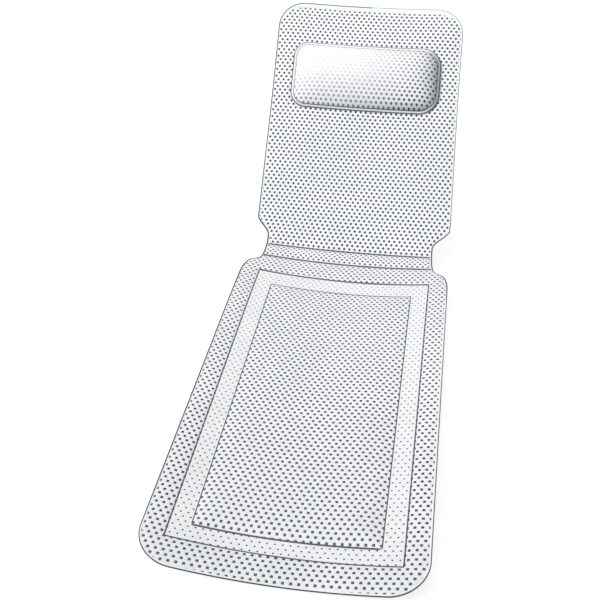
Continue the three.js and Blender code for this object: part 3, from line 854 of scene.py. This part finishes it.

# Across each fold the welded strip is all there is between the fields; it is built in its bent place.
STRIP_HOLE_LENGTH = 4.2
LINE_INSET = 4.0
for label, fold, half_line, spans, bodies in (
    ("lower_fold", LOWER_FOLD, 1.55, (SEAT_ROW / 2, WAIST_ROW / 2), ("seat", "waist")),
    ("upper_fold", UPPER_FOLD, 1.1, (WAIST_ROW / 2, BACK_ROW / 2), ("waist", "back")),
):
    start, end = fold - spans[0], fold + spans[1]
    flat, faces = made_flat(
        punching,
        Row_spacing=sum(spans),
        Rows=1,
        Hole_width=SEAT_HOLE[0],
        Hole_length=STRIP_HOLE_LENGTH,
        Lip_drop=0.2,
        Skin=mat_pvc,
    )
    points, quads, count = [], [], 0
    for side, low, high in ((1, start, fold - half_line), (1, fold + half_line, end), (-1, start, end)):
        across, along = cut_to_mat(flat[:, 0], flat[:, 1] + fold + (spans[1] - spans[0]) / 2, RIM, start, end)
        along = np.clip(along, low, high)
        rise = np.where(
            along < fold,
            crown(BORDER if label == "lower_fold" else WAIST, (fold - FOLD_GAP) - along),
            crown(WAIST if label == "lower_fold" else BACK, along - (fold + FOLD_GAP)),
        )
        height = rise + flat[:, 2] if side > 0 else UNDERSIDE - flat[:, 2]
        points.append(on_mat(across, along, height))
        quads.append((faces if side > 0 else faces[:, ::-1]) + count)
        count += len(flat)
    strip = piece(f"{label}_strip", np.concatenate(points), np.concatenate(quads), mat_pvc)
    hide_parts(f"{label}_weld")
    line_across = np.linspace(-1, 1, 53) * (half_width(fold) - LINE_INSET)
    line_path = np.stack([line_across, np.full(53, fold)], axis=1)
    across, along, height, faces = swept(line_path, np.tile([0.0, half_line], (53, 1)), GROOVE, closed=False)
    line = piece(f"{label}_line", on_mat(across, along, height), faces, line_shade_pvc)
    columns = np.linspace(-1, 1, 61) * (half_width(fold) - LINE_INSET)
    rows = np.linspace(start, end, 7)
    across, along = (x.ravel() for x in np.meshgrid(columns, rows))
    first = (np.arange(6)[:, None] * 61 + np.arange(60)).ravel()
    faces = np.stack([first, first + 1, first + 62, first + 61], axis=1)
    below = on_mat(across, along, -CORE_DROP)
    web = piece(f"{label}_web", below, faces, foam, pressed=np.zeros(len(below)))
    for made, slot in ((line, "weld"), (web, "padding")):
        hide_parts(f"{label}_weld")
    bend_start, bend_end = (on_mat(0, fold + way * 3.0, 0).tolist() for way in (-1, 1))
    for made in (strip, line, web):
        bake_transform(made)

# Sealed rim
# Both sheets are fused and trimmed all round: a smooth bead 3 mm wide, 10 mm at the
# head, with a thin trimmed lip outside it, whose near black is painted shade for the dark outline of the
# edge.
BEAD = (
    (4.0, -0.5, 1, 0), (3.2, 0.1, 1, 0), (2.4, 0.3, 1, 0.3), (0.5, 0.25, 0, 1),
    (0.1, -0.1, 0, 1), (0, -0.8, 0, 1), (0, -2.4, 0, 1), (0.1, -3.2, 0, 1),
    (0.5, -3.6, 0, 1), (2.4, -3.6, 1, 0.3), (3.2, -3.4, 1, 0), (4.0, -2.8, 1, 0),
)
LIP = (
    (0.3, 0.0, 0, 1), (0.3, -0.1, 0, 0), (0.1, -0.3, 0, 0),
    (0.1, -1.6, 0, 0), (0.3, -1.8, 0, 0), (0.3, -2.0, 0, 1),
)
# The width of lip left outside the bead, by the place along each side: it sets how broad the
# outline of painted shade looks on each side.
LIP_LEFT = {0: 0.9, 60: 1.4, 120: 1.8, 600: 2.0, 670: 2.6, 780: 2.4, 840: 1.7, 1240: 1.8}
LIP_RIGHT = {0: 0.8, 60: 0.9, 600: 0.95, 670: 2.1, 780: 1.9, 840: 0.9, 1240: 0.85}


def edge_run(start, end):
    """The mat's right edge from start to end along it: points, ways inward, extra width."""
    count = max(int((end - start) / 3), 7)
    along = np.linspace(max(start, FOOT_CORNER), min(end, MAT_LENGTH - HEAD_CORNER), count)
    path = [np.stack([half_width(along), along], axis=1)]
    extra = [np.zeros(count)]
    turn = np.radians(np.linspace(0, 90, 25))
    if start <= 0:
        ring = np.stack([np.cos(turn), -np.sin(turn)], axis=1)[::-1] * FOOT_CORNER
        ring += (SEAT_HALF_WIDTH - FOOT_CORNER, FOOT_CORNER)
        foot = np.stack([np.linspace(0, ring[0][0], 40)[:-1], np.zeros(39)], axis=1)
        path, extra = [foot, ring[:-1], *path], [np.zeros(39), np.zeros(24), *extra]
    if end >= MAT_LENGTH:
        ring = np.stack([np.cos(turn), np.sin(turn)], axis=1) * HEAD_CORNER
        ring += (BACK_HALF_WIDTH - HEAD_CORNER, MAT_LENGTH - HEAD_CORNER)
        head = np.stack([np.linspace(ring[-1][0], 0, 40)[1:], np.full(39, MAT_LENGTH)], axis=1)
        inner = 1 / np.hypot(np.cos(turn) / (HEAD_CORNER - RIM), np.sin(turn) / (HEAD_CORNER - HEAD_RIM))
        path += [ring[1:], head]
        extra += [(HEAD_CORNER - RIM - inner)[1:], np.full(39, HEAD_RIM - RIM)]
    path, extra = np.concatenate(path), np.concatenate(extra)
    way = np.gradient(path, axis=0)
    way /= np.linalg.norm(way, axis=1, keepdims=True)
    return path, np.stack([-way[:, 1], way[:, 0]], axis=1), extra


def edging(profile, start, end):
    """A closed bead along both of the mat's edges, as points and faces. Its profile's last
    numbers say what moves in with a wide head rim, and with the lip that is left outside."""
    path, inward, extra = edge_run(start, end)
    shape = np.array(profile)
    count, width = len(path), len(shape)
    height = np.tile(shape[:, 1], count)
    sides = []
    for way, lip in ((1, LIP_RIGHT), (-1, LIP_LEFT)):
        left_out = np.interp(path[:, 1], list(lip), list(lip.values()))
        offset = shape[:, 0] + shape[:, 2] * extra[:, None] + shape[:, 3] * left_out[:, None]
        flat = path[:, None, :] + inward[:, None, :] * offset[..., None]
        sides.append(on_mat(way * flat[..., 0].ravel(), flat[..., 1].ravel(), height))
    right, left = sides
    first = (np.arange(count - 1)[:, None] * width + np.arange(width)).ravel()
    beside = (np.arange(count - 1)[:, None] * width + (np.arange(width) + 1) % width).ravel()
    faces = np.stack([first, beside, beside + width, first + width], axis=1)
    return np.concatenate([right, left]), np.concatenate([faces, faces[:, ::-1] + len(right)])


rim_pvc = foamed_pvc("fused_pvc_bead", "#f3f5f6", "#e9edef", grain_mm=2.5)
# The lip's near black is painted shade.
lip_shade_pvc = foamed_pvc("pvc_lip_painted_shade", "#31363a", "#262b2e", grain_mm=2.0)
for label, profile, finish in (("bead", BEAD, rim_pvc), ("lip", LIP, lip_shade_pvc)):
    for body, start, end in (
        ("seat", 0, seat_end),
        ("waist", waist_start, waist_end),
        ("back", back_start, MAT_LENGTH),
    ):
        made = piece(f"{body}_{label}", *edging(profile, start, end), finish)
        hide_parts(f"{body}_top_sheet", f"{body}_bottom_sheet")
        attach(made, body)
    for fold, bodies, start, end in (
        ("lower_fold", ("seat", "waist"), seat_end, waist_start),
        ("upper_fold", ("waist", "back"), waist_end, back_start),
    ):
        made = piece(f"{fold}_{label}", *edging(profile, start, end), finish)
        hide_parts(f"{fold}_weld")
        middle = LOWER_FOLD if fold == "lower_fold" else UPPER_FOLD
        bend_start, bend_end = (on_mat(0, middle + way * 3.0, 0).tolist() for way in (-1, 1))
        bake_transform(made)

# Head pillow
# A soft cushion in a punched cover that is stretched into a low dome over its filling,
# and welded to the back by a flat flange with a pressed groove.
PILLOW = (144.0, 66.0)
PILLOW_CORNERS = (30.0, 38.0)
PILLOW_TO_HEAD = 84.5
PILLOW_MIDDLE = MAT_LENGTH - PILLOW_TO_HEAD - PILLOW[1]
PILLOW_ROW = 7.4
PILLOW_ROWS = 19
FLANGE = 6.0
DOME_HEIGHT = 24.5
DOME_RUNS = (38.0, 27.0)
DOME_POWER = 1.45
SETTLED = (0.72, 0.69)
FLANGE_TOP = 9.0


def pillow_corner(across):
    return np.where(np.asarray(across) > 0, PILLOW_CORNERS[1], PILLOW_CORNERS[0])


def dome_inside(across, along):
    """How far a point is inside the dome's foot, along lines whose corners stay round."""
    radius, tighter = pillow_corner(across) - FLANGE, 0.4
    side = np.abs(across) - PILLOW[0] + FLANGE + radius
    end = np.abs(along - PILLOW_MIDDLE) - PILLOW[1] + FLANGE + radius
    moved = 1 - tighter
    first = 2 * moved**2 - tighter**2
    second = 2 * moved * (side + end) + 2 * radius * tighter
    third = side**2 + end**2 - radius**2
    round_corner = (np.sqrt(np.maximum(second**2 - 4 * first * third, 0)) - second) / (2 * first)
    at_corner = np.minimum(side, end) + moved * round_corner > 0
    return np.where(at_corner, round_corner, radius - np.maximum(side, end))


def dome_rise(across, along):
    right = across / (PILLOW[0] - FLANGE)
    foot = (PILLOW_MIDDLE - along) / (PILLOW[1] - FLANGE)
    settled = np.clip(SETTLED[0] * right + SETTLED[1] * foot, 0, 1)
    run = DOME_RUNS[0] + (DOME_RUNS[1] - DOME_RUNS[0]) * settled
    side = np.clip(dome_inside(across, along) / run, 0, 1)
    side = (1 - (1 - side) ** DOME_POWER) ** (1 / DOME_POWER)
    middle = np.maximum(1 - right**2, 0) * np.maximum(1 - foot**2, 0)
    return DOME_HEIGHT * (0.5 * side + 0.5 * middle)


def cut_to_pillow(across, along, inset):
    half, length, radius = PILLOW[0] - inset, PILLOW[1] - inset, pillow_corner(across) - inset
    side, end = np.minimum(np.abs(across), half), np.minimum(np.abs(along - PILLOW_MIDDLE), length)
    past_side, past_end = side - (half - radius), end - (length - radius)
    far = np.hypot(past_side, past_end) / radius
    in_corner = (past_side > 0) & (past_end > 0) & (far > 1)
    side = np.where(in_corner, half - radius + past_side / np.maximum(far, 1), side)
    end = np.where(in_corner, length - radius + past_end / np.maximum(far, 1), end)
    return np.sign(across) * side, PILLOW_MIDDLE + np.sign(along - PILLOW_MIDDLE) * end


def cut_filling(across, along):
    return cut_to_pillow(across, along, FLANGE + 0.6)


pillow_ends = (PILLOW_MIDDLE - PILLOW[1], PILLOW_MIDDLE + PILLOW[1])
dome_filled = filled_out(dome_rise, dome_inside, cut_filling, pillow_ends, 6.0, 60.0, 3.0)


def dome_top(across, along):
    return on_mat(across, along, FLANGE_TOP - 0.3 + dome_filled(across, along))


def cover_thinned(across, along):
    """Painted shade on the cover: darkest along its right side, and toward the foot."""
    inside = dome_inside(across, along)
    right = np.clip(across / PILLOW[0], -1, 1)
    side = 0.6 * np.clip(1 - (PILLOW[0] - FLANGE - across) / 50, 0, 1) ** 2
    foot = np.clip(1 - (along - PILLOW_MIDDLE + PILLOW[1] - FLANGE) / 26, 0, 1) ** 2 * (0.42 + 0.4 * right)
    corner = np.clip(1 - inside / 20, 0, 1) ** 2 * np.clip(right, 0, 1) ** 3
    return 1 - (1 - side) * (1 - foot) * (1 - 0.6 * corner)


# Stretching the cover over its filling has drawn its rows apart and its holes open.
PILLOW_HOLE = (4.7, 4.7, 0.12)
cover_pvc = foamed_pvc("pvc_cover_painted_shade", "#f6f7f9", "#eef0f2", thin="#7f8b95")
pillow_first = PILLOW_MIDDLE + 0.7 - (PILLOW_ROWS - 1) / 2 * PILLOW_ROW
pillow_above = Lattice(pillow_first, PITCH, PILLOW_ROW, PILLOW_ROWS, 1, PILLOW_HOLE, sideways=0.7)
flat, faces = punched(pillow_above, cover_pvc, Columns=31)
across, along = cut_to_pillow(flat[:, 0], flat[:, 1], FLANGE + 0.2)
faces = kept(faces, flat, across, along)
points = raised(dome_top, across, along, flat[:, 2])
# The cover gets painted shade toward its right side and foot.
cover = piece("pillow_cover", points, faces, cover_pvc, thinned=cover_thinned(across, along))
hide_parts("pillow_shell")
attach(cover, "back")


def filling_pressed(across, along):
    """Painted light on the filling seen through the holes: near white toward the upper left, where the holes
    fade in the light, and dark toward the right and foot.
    """
    right = across / PILLOW[0]
    foot = (PILLOW_MIDDLE - along) / PILLOW[1]
    slack = 0.15 + np.where(right > 0, 0.75 * np.abs(right) ** 1.4, 0.09 * right)
    slack = slack + np.where(foot > 0, 0.48, 0.10) * foot
    return (1 - np.clip(slack, 0, 1)) ** 2


core(
    *("pillow_filling_core", dome_top, cut_filling, *pillow_ends, "pillow_filling", "back"),
    bottom=FLANGE_TOP - 2.5,
    pressed=filling_pressed,
)

FLANGE_SHAPE = (
    (8.0, -1.1, 0), (7.2, -0.5, 0), (6.5, -1.2, 0), (5.4, -1.2, 0), (4.7, -0.4, 0), (3.5, -0.1, 0),
    (2.3, -0.3, 0), (1.6, -0.9, 0), (1.4, -1.9, 0), (1.6, -2.9, 0), (8.0, -3.1, 0),
)
EDGE_LINE = ((2.0, -1.6, 0), (0.1, -1.8, 0), (-0.1, -2.1, 0), (-0.1, -2.4, 0), (0.1, -2.7, 0), (2.0, -2.9, 0))
GROOVE_LINE = (
    (0.95, -0.35, 5.95), (0.6, -0.9, 5.95), (-0.6, -0.9, 5.95), (-0.95, -0.35, 5.95), (0.0, -1.4, 5.95),
)
SHADED_TOWARD = (0.72, -0.69)


def round_pillow(name, profile, material, node_name):
    half, length = PILLOW
    path, inward = [], []
    for turn, middle in ((0, (1, 1)), (90, (-1, 1)), (180, (-1, -1)), (270, (1, -1))):
        radius = float(pillow_corner(middle[0]))
        for angle in np.radians(np.linspace(turn, turn + 90, 17)):
            way = np.array([math.cos(angle), math.sin(angle)])
            centre = np.array([middle[0] * (half - radius), PILLOW_MIDDLE + middle[1] * (length - radius)])
            path.append(centre + way * radius)
            inward.append(-way)
    dense_path, dense_inward = [], []
    for here in range(len(path)):
        after = (here + 1) % len(path)
        count = max(int(np.linalg.norm(path[after] - path[here]) / 6), 1)
        for i in range(count):
            dense_path.append(path[here] + (path[after] - path[here]) * i / count)
            dense_inward.append(inward[here])
    path, inward = np.array(dense_path), np.array(dense_inward)
    shape = np.array(profile)
    offset = np.broadcast_to(shape[None, :, 0], (len(path), len(shape)))
    # The dark lines are widened toward the right and foot, as painted shade on those sides.
    shade_widening = np.clip(0.75 - 0.9 * inward @ SHADED_TOWARD, 0.3, 1.6)[:, None]
    if name == "pillow_groove_line":
        offset = offset * shade_widening
    if name == "pillow_edge_line":
        offset = np.where(offset < 1, offset - 0.35 * shade_widening, offset)
    offset = offset + shape[None, :, 2]
    flat = path[:, None, :] + inward[:, None, :] * offset[..., None]
    height = np.broadcast_to(FLANGE_TOP + shape[None, :, 1], flat.shape[:2])
    points = on_mat(flat[..., 0].ravel(), flat[..., 1].ravel(), height.ravel())
    count, width = height.shape
    # Painted shade on the flange: darkest on its right side, a little at the foot.
    thinned = np.repeat(0.8 * np.clip(-inward[:, 0], 0, 1) ** 2 + 0.25 * np.clip(inward[:, 1], 0, 1), width)
    first = (np.arange(count)[:, None] * width + np.arange(width)).ravel()
    beside = (np.arange(count)[:, None] * width + (np.arange(width) + 1) % width).ravel()
    total = count * width
    faces = np.stack([first, beside, (beside + width) % total, (first + width) % total], axis=1)
    made = piece(name, points, faces, material, thinned=thinned)
    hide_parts(node_name)
    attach(made, "back")


# The edge and groove lines are dark grey painted shade, for the flange's side wall and its groove.
round_pillow("pillow_flange", FLANGE_SHAPE, cover_pvc, "pillow_base_sheet")
round_pillow("pillow_edge_line", EDGE_LINE, line_shade_pvc, "pillow_base_sheet")
round_pillow("pillow_groove_line", GROOVE_LINE, line_shade_pvc, "pillow_base_sheet")

# Suction cups
# Moulded in clear soft PVC, each welded to the bottom sheet by its flat base. They are
# bell shaped, hollow below, and thin at the rim so that it seals against a bath.
clear_pvc = bpy.data.materials.new("clear_soft_pvc")
clear_pvc.use_nodes = True
clear_pvc.node_tree.nodes.clear()
place = node(clear_pvc.node_tree, "ShaderNodeTexCoord").outputs["Object"]
flow = node(clear_pvc.node_tree, "ShaderNodeTexNoise", {"Vector": place, "Scale": 90.0, "Detail": 2.0})
gloss = node(clear_pvc.node_tree, "ShaderNodeMapRange", {0: flow.outputs["Fac"], 3: 0.1, 4: 0.24})
ripple = node(
    clear_pvc.node_tree,
    "ShaderNodeBump",
    {"Height": flow.outputs["Fac"], "Strength": 0.1, "Distance": 0.001},
)
shader = node(
    clear_pvc.node_tree,
    "ShaderNodeBsdfPrincipled",
    {
        "Base Color": linear("#e4edf1"),
        "Roughness": gloss.outputs[0],
        "Normal": ripple.outputs[0],
        "IOR": 1.53,
        "Transmission Weight": 0.85,
    },
)
node(clear_pvc.node_tree, "ShaderNodeOutputMaterial", {"Surface": shader.outputs[0]})

CUP_RADIUS = 15.5
CUP_HEIGHT = 10.0
CUP_NECK = (5.0, 3.6)
CUP_HOLLOW = (13.9, 5.1)
quarter = np.radians(np.linspace(0, 90, 10))
cup_profile = [(0, -0.3), (8.7, -0.3), (9.0, 0.0), (9.0, 0.9), (8.6, 1.2), (5.6, 1.3), (5.0, 1.8), (5.0, 3.2)]
neck_radius, neck_depth = CUP_NECK
cup_profile += [
    (
        neck_radius + (CUP_RADIUS - neck_radius) * math.sin(t),
        neck_depth + (CUP_HEIGHT - neck_depth) * (1 - math.cos(t)) ** 0.9,
    )
    for t in quarter
]
cup_profile += [(15.3, CUP_HEIGHT), (14.6, CUP_HEIGHT)]
cup_profile += [(CUP_HOLLOW[0] * math.cos(t), CUP_HEIGHT - CUP_HOLLOW[1] * math.sin(t)) for t in quarter]
turns = 40
cup_points, cup_faces = [], []
for step in range(turns):
    angle = 2 * math.pi * step / turns
    way_x, way_y = math.cos(angle) / 1000, math.sin(angle) / 1000
    cup_points += [(radius * way_x, radius * way_y, -depth / 1000) for radius, depth in cup_profile]
count = len(cup_profile)
for step in range(turns):
    here, after = step * count, (step + 1) % turns * count
    cup_faces += [(here + i, here + i + 1, after + i + 1, after + i) for i in range(count - 1)]
cup_mesh = bpy.data.meshes.new("cup")
cup_mesh.from_pydata(cup_points, [], cup_faces)
cup_mesh.shade_smooth()
one_cup = bpy.data.objects.new("cup", cup_mesh)

setting_cups = bpy.data.node_groups.new("set_cups", "GeometryNodeTree")
setting_cups.interface.new_socket("Places", in_out="INPUT", socket_type="NodeSocketGeometry")
setting_cups.interface.new_socket("Cup", in_out="INPUT", socket_type="NodeSocketObject")
setting_cups.interface.new_socket("Plastic", in_out="INPUT", socket_type="NodeSocketMaterial")
setting_cups.interface.new_socket("Cups", in_out="OUTPUT", socket_type="NodeSocketGeometry")
given = node(setting_cups, "NodeGroupInput").outputs
up = node(setting_cups, "GeometryNodeInputNamedAttribute", {"Name": "up"}, data_type="FLOAT_VECTOR")
stand = node(setting_cups, "FunctionNodeAlignRotationToVector", {"Vector": up.outputs[0]}, axis="Z")
shape = node(setting_cups, "GeometryNodeObjectInfo", {"Object": given["Cup"]}).outputs["Geometry"]
cups = node(
    setting_cups,
    "GeometryNodeInstanceOnPoints",
    {"Points": given["Places"], "Instance": shape, "Rotation": stand.outputs[0]},
).outputs[0]
cups = node(setting_cups, "GeometryNodeRealizeInstances", {"Geometry": cups}).outputs[0]
cups = node(setting_cups, "GeometryNodeMergeByDistance", {"Geometry": cups, "Distance": 1e-6}).outputs[0]
cups = node(setting_cups, "GeometryNodeSetMaterial", {"Geometry": cups, "Material": given["Plastic"]})
node(setting_cups, "NodeGroupOutput", {0: cups.outputs[0]})
sockets = {item.name: item.identifier for item in setting_cups.interface.items_tree}

for body, offset, first, last, rows in (("seat", 104.0, 95.0, 690.0, 5), ("back", 108.0, 837.6, 1112.0, 3)):
    along = np.repeat(np.linspace(first, last, rows), 2)
    across = np.tile([-offset, offset], rows)
    tops = on_mat(across, along, UNDERSIDE - 0.3)
    ways = on_mat(across, along, UNDERSIDE) - tops
    spots = bpy.data.meshes.new("cup_places")
    spots.from_pydata(tops.tolist(), [], [])
    spots.attributes.new("up", "FLOAT_VECTOR", "POINT").data.foreach_set("vector", (ways * 1e4).ravel())
    holder = bpy.data.objects.new("cup_places", spots)
    bpy.context.collection.objects.link(holder)
    modifier = holder.modifiers.new("set_cups", "NODES")
    modifier.node_group = setting_cups
    modifier[sockets["Cup"]] = one_cup
    modifier[sockets["Plastic"]] = clear_pvc
    bpy.context.view_layer.update()
    mesh = bpy.data.meshes.new_from_object(holder.evaluated_get(bpy.context.evaluated_depsgraph_get()))
    bpy.data.objects.remove(holder)
    mesh.name = f"{body}_cups"
    made = bpy.data.objects.new(f"{body}_cups", mesh)
    bpy.context.collection.objects.link(made)
    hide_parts(*(f"{body}_cup_{side}_{row + 1}" for side in ("left", "right") for row in range(rows)))
    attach(made, body)

# Studio
# A white floor and soft light from the upper left, with the camera where the
# photograph was taken.
def seen_straight(tree):
    """1 for what the camera sees, also mirrored or through clear plastic, and 0 for light."""
    seen = node(tree, "ShaderNodeLightPath").outputs
    shown = worked(tree, "MAXIMUM", seen["Is Camera Ray"], seen["Is Glossy Ray"])
    return worked(tree, "MAXIMUM", shown, seen["Is Transmission Ray"])


floor = bpy.data.objects.new("floor", bpy.data.meshes.new("floor"))
reach = 6.0
corners = [(-reach, -reach, 0), (reach, -reach, 0), (reach, reach, 0), (-reach, reach, 0)]
floor.data.from_pydata(corners, [], [(0, 1, 2, 3)])
bpy.context.collection.objects.link(floor)
paint = bpy.data.materials.new("studio_floor")
paint.use_nodes = True
paint.node_tree.nodes.clear()
matt = node(paint.node_tree, "ShaderNodeBsdfDiffuse", {"Color": linear("#b8babb")})
shown = worked(paint.node_tree, "MULTIPLY", seen_straight(paint.node_tree), 0.71)
glow = node(paint.node_tree, "ShaderNodeEmission", {"Color": (1, 1, 1, 1), "Strength": shown})
lit = node(paint.node_tree, "ShaderNodeAddShader", {0: matt.outputs[0], 1: glow.outputs[0]})
clear = node(paint.node_tree, "ShaderNodeBsdfTransparent")
behind = node(paint.node_tree, "ShaderNodeNewGeometry").outputs["Backfacing"]
face = node(paint.node_tree, "ShaderNodeMixShader", {0: behind, 1: lit.outputs[0], 2: clear.outputs[0]})
node(paint.node_tree, "ShaderNodeOutputMaterial", {"Surface": face.outputs[0]})
floor.data.materials.append(paint)

world = bpy.data.worlds.new("studio")
bpy.context.scene.world = world
world.use_nodes = True
world.node_tree.nodes.clear()
strength = node(world.node_tree, "ShaderNodeMapRange", {0: seen_straight(world.node_tree), 3: 0.6, 4: 1.0})
sky_white = (0.985, 0.995, 1.0, 1)
sky = node(world.node_tree, "ShaderNodeBackground", {"Color": sky_white, "Strength": strength.outputs[0]})
node(world.node_tree, "ShaderNodeOutputWorld", {"Surface": sky.outputs[0]})


def softbox(name, toward, distance, width, power):
    """A square lamp that faces the middle of the mat."""
    lamp = bpy.data.objects.new(name, bpy.data.lights.new(name, "AREA"))
    lamp.data.size, lamp.data.energy = width, power
    middle = np.array([0.0, 0.0, 0.15])
    way = np.array(toward) / np.linalg.norm(toward)
    lamp.location = middle + way * distance
    lamp.rotation_mode = "QUATERNION"
    lamp.rotation_quaternion = Vector(way).to_track_quat("Z", "Y")
    bpy.context.collection.objects.link(lamp)


softbox("key", (-0.55, -0.5, 0.53), 5.0, 1.6, 118.0)
softbox("overhead", (0.04, 0.4, 1.0), 1.75, 1.0, 5.9)

camera = bpy.data.objects.new("camera", bpy.data.cameras.new("camera"))
camera.data.lens, camera.data.sensor_width = 54.0, 36.0
camera.data.clip_start = 0.01
CAMERA_PLACE = (0.1450, -1.2247, 0.9578)
CAMERA_TURNS = (9.495, 36.234, -0.157)
yaw, pitch, roll = (math.radians(turn) for turn in CAMERA_TURNS)
turned = Matrix.Rotation(yaw, 4, "Z") @ Matrix.Rotation(math.pi / 2 - pitch, 4, "X")
camera.matrix_world = Matrix.Translation(CAMERA_PLACE) @ turned @ Matrix.Rotation(roll, 4, "Z")
bpy.context.collection.objects.link(camera)
bpy.context.scene.camera = camera
bpy.context.scene.view_settings.view_transform = "Standard"
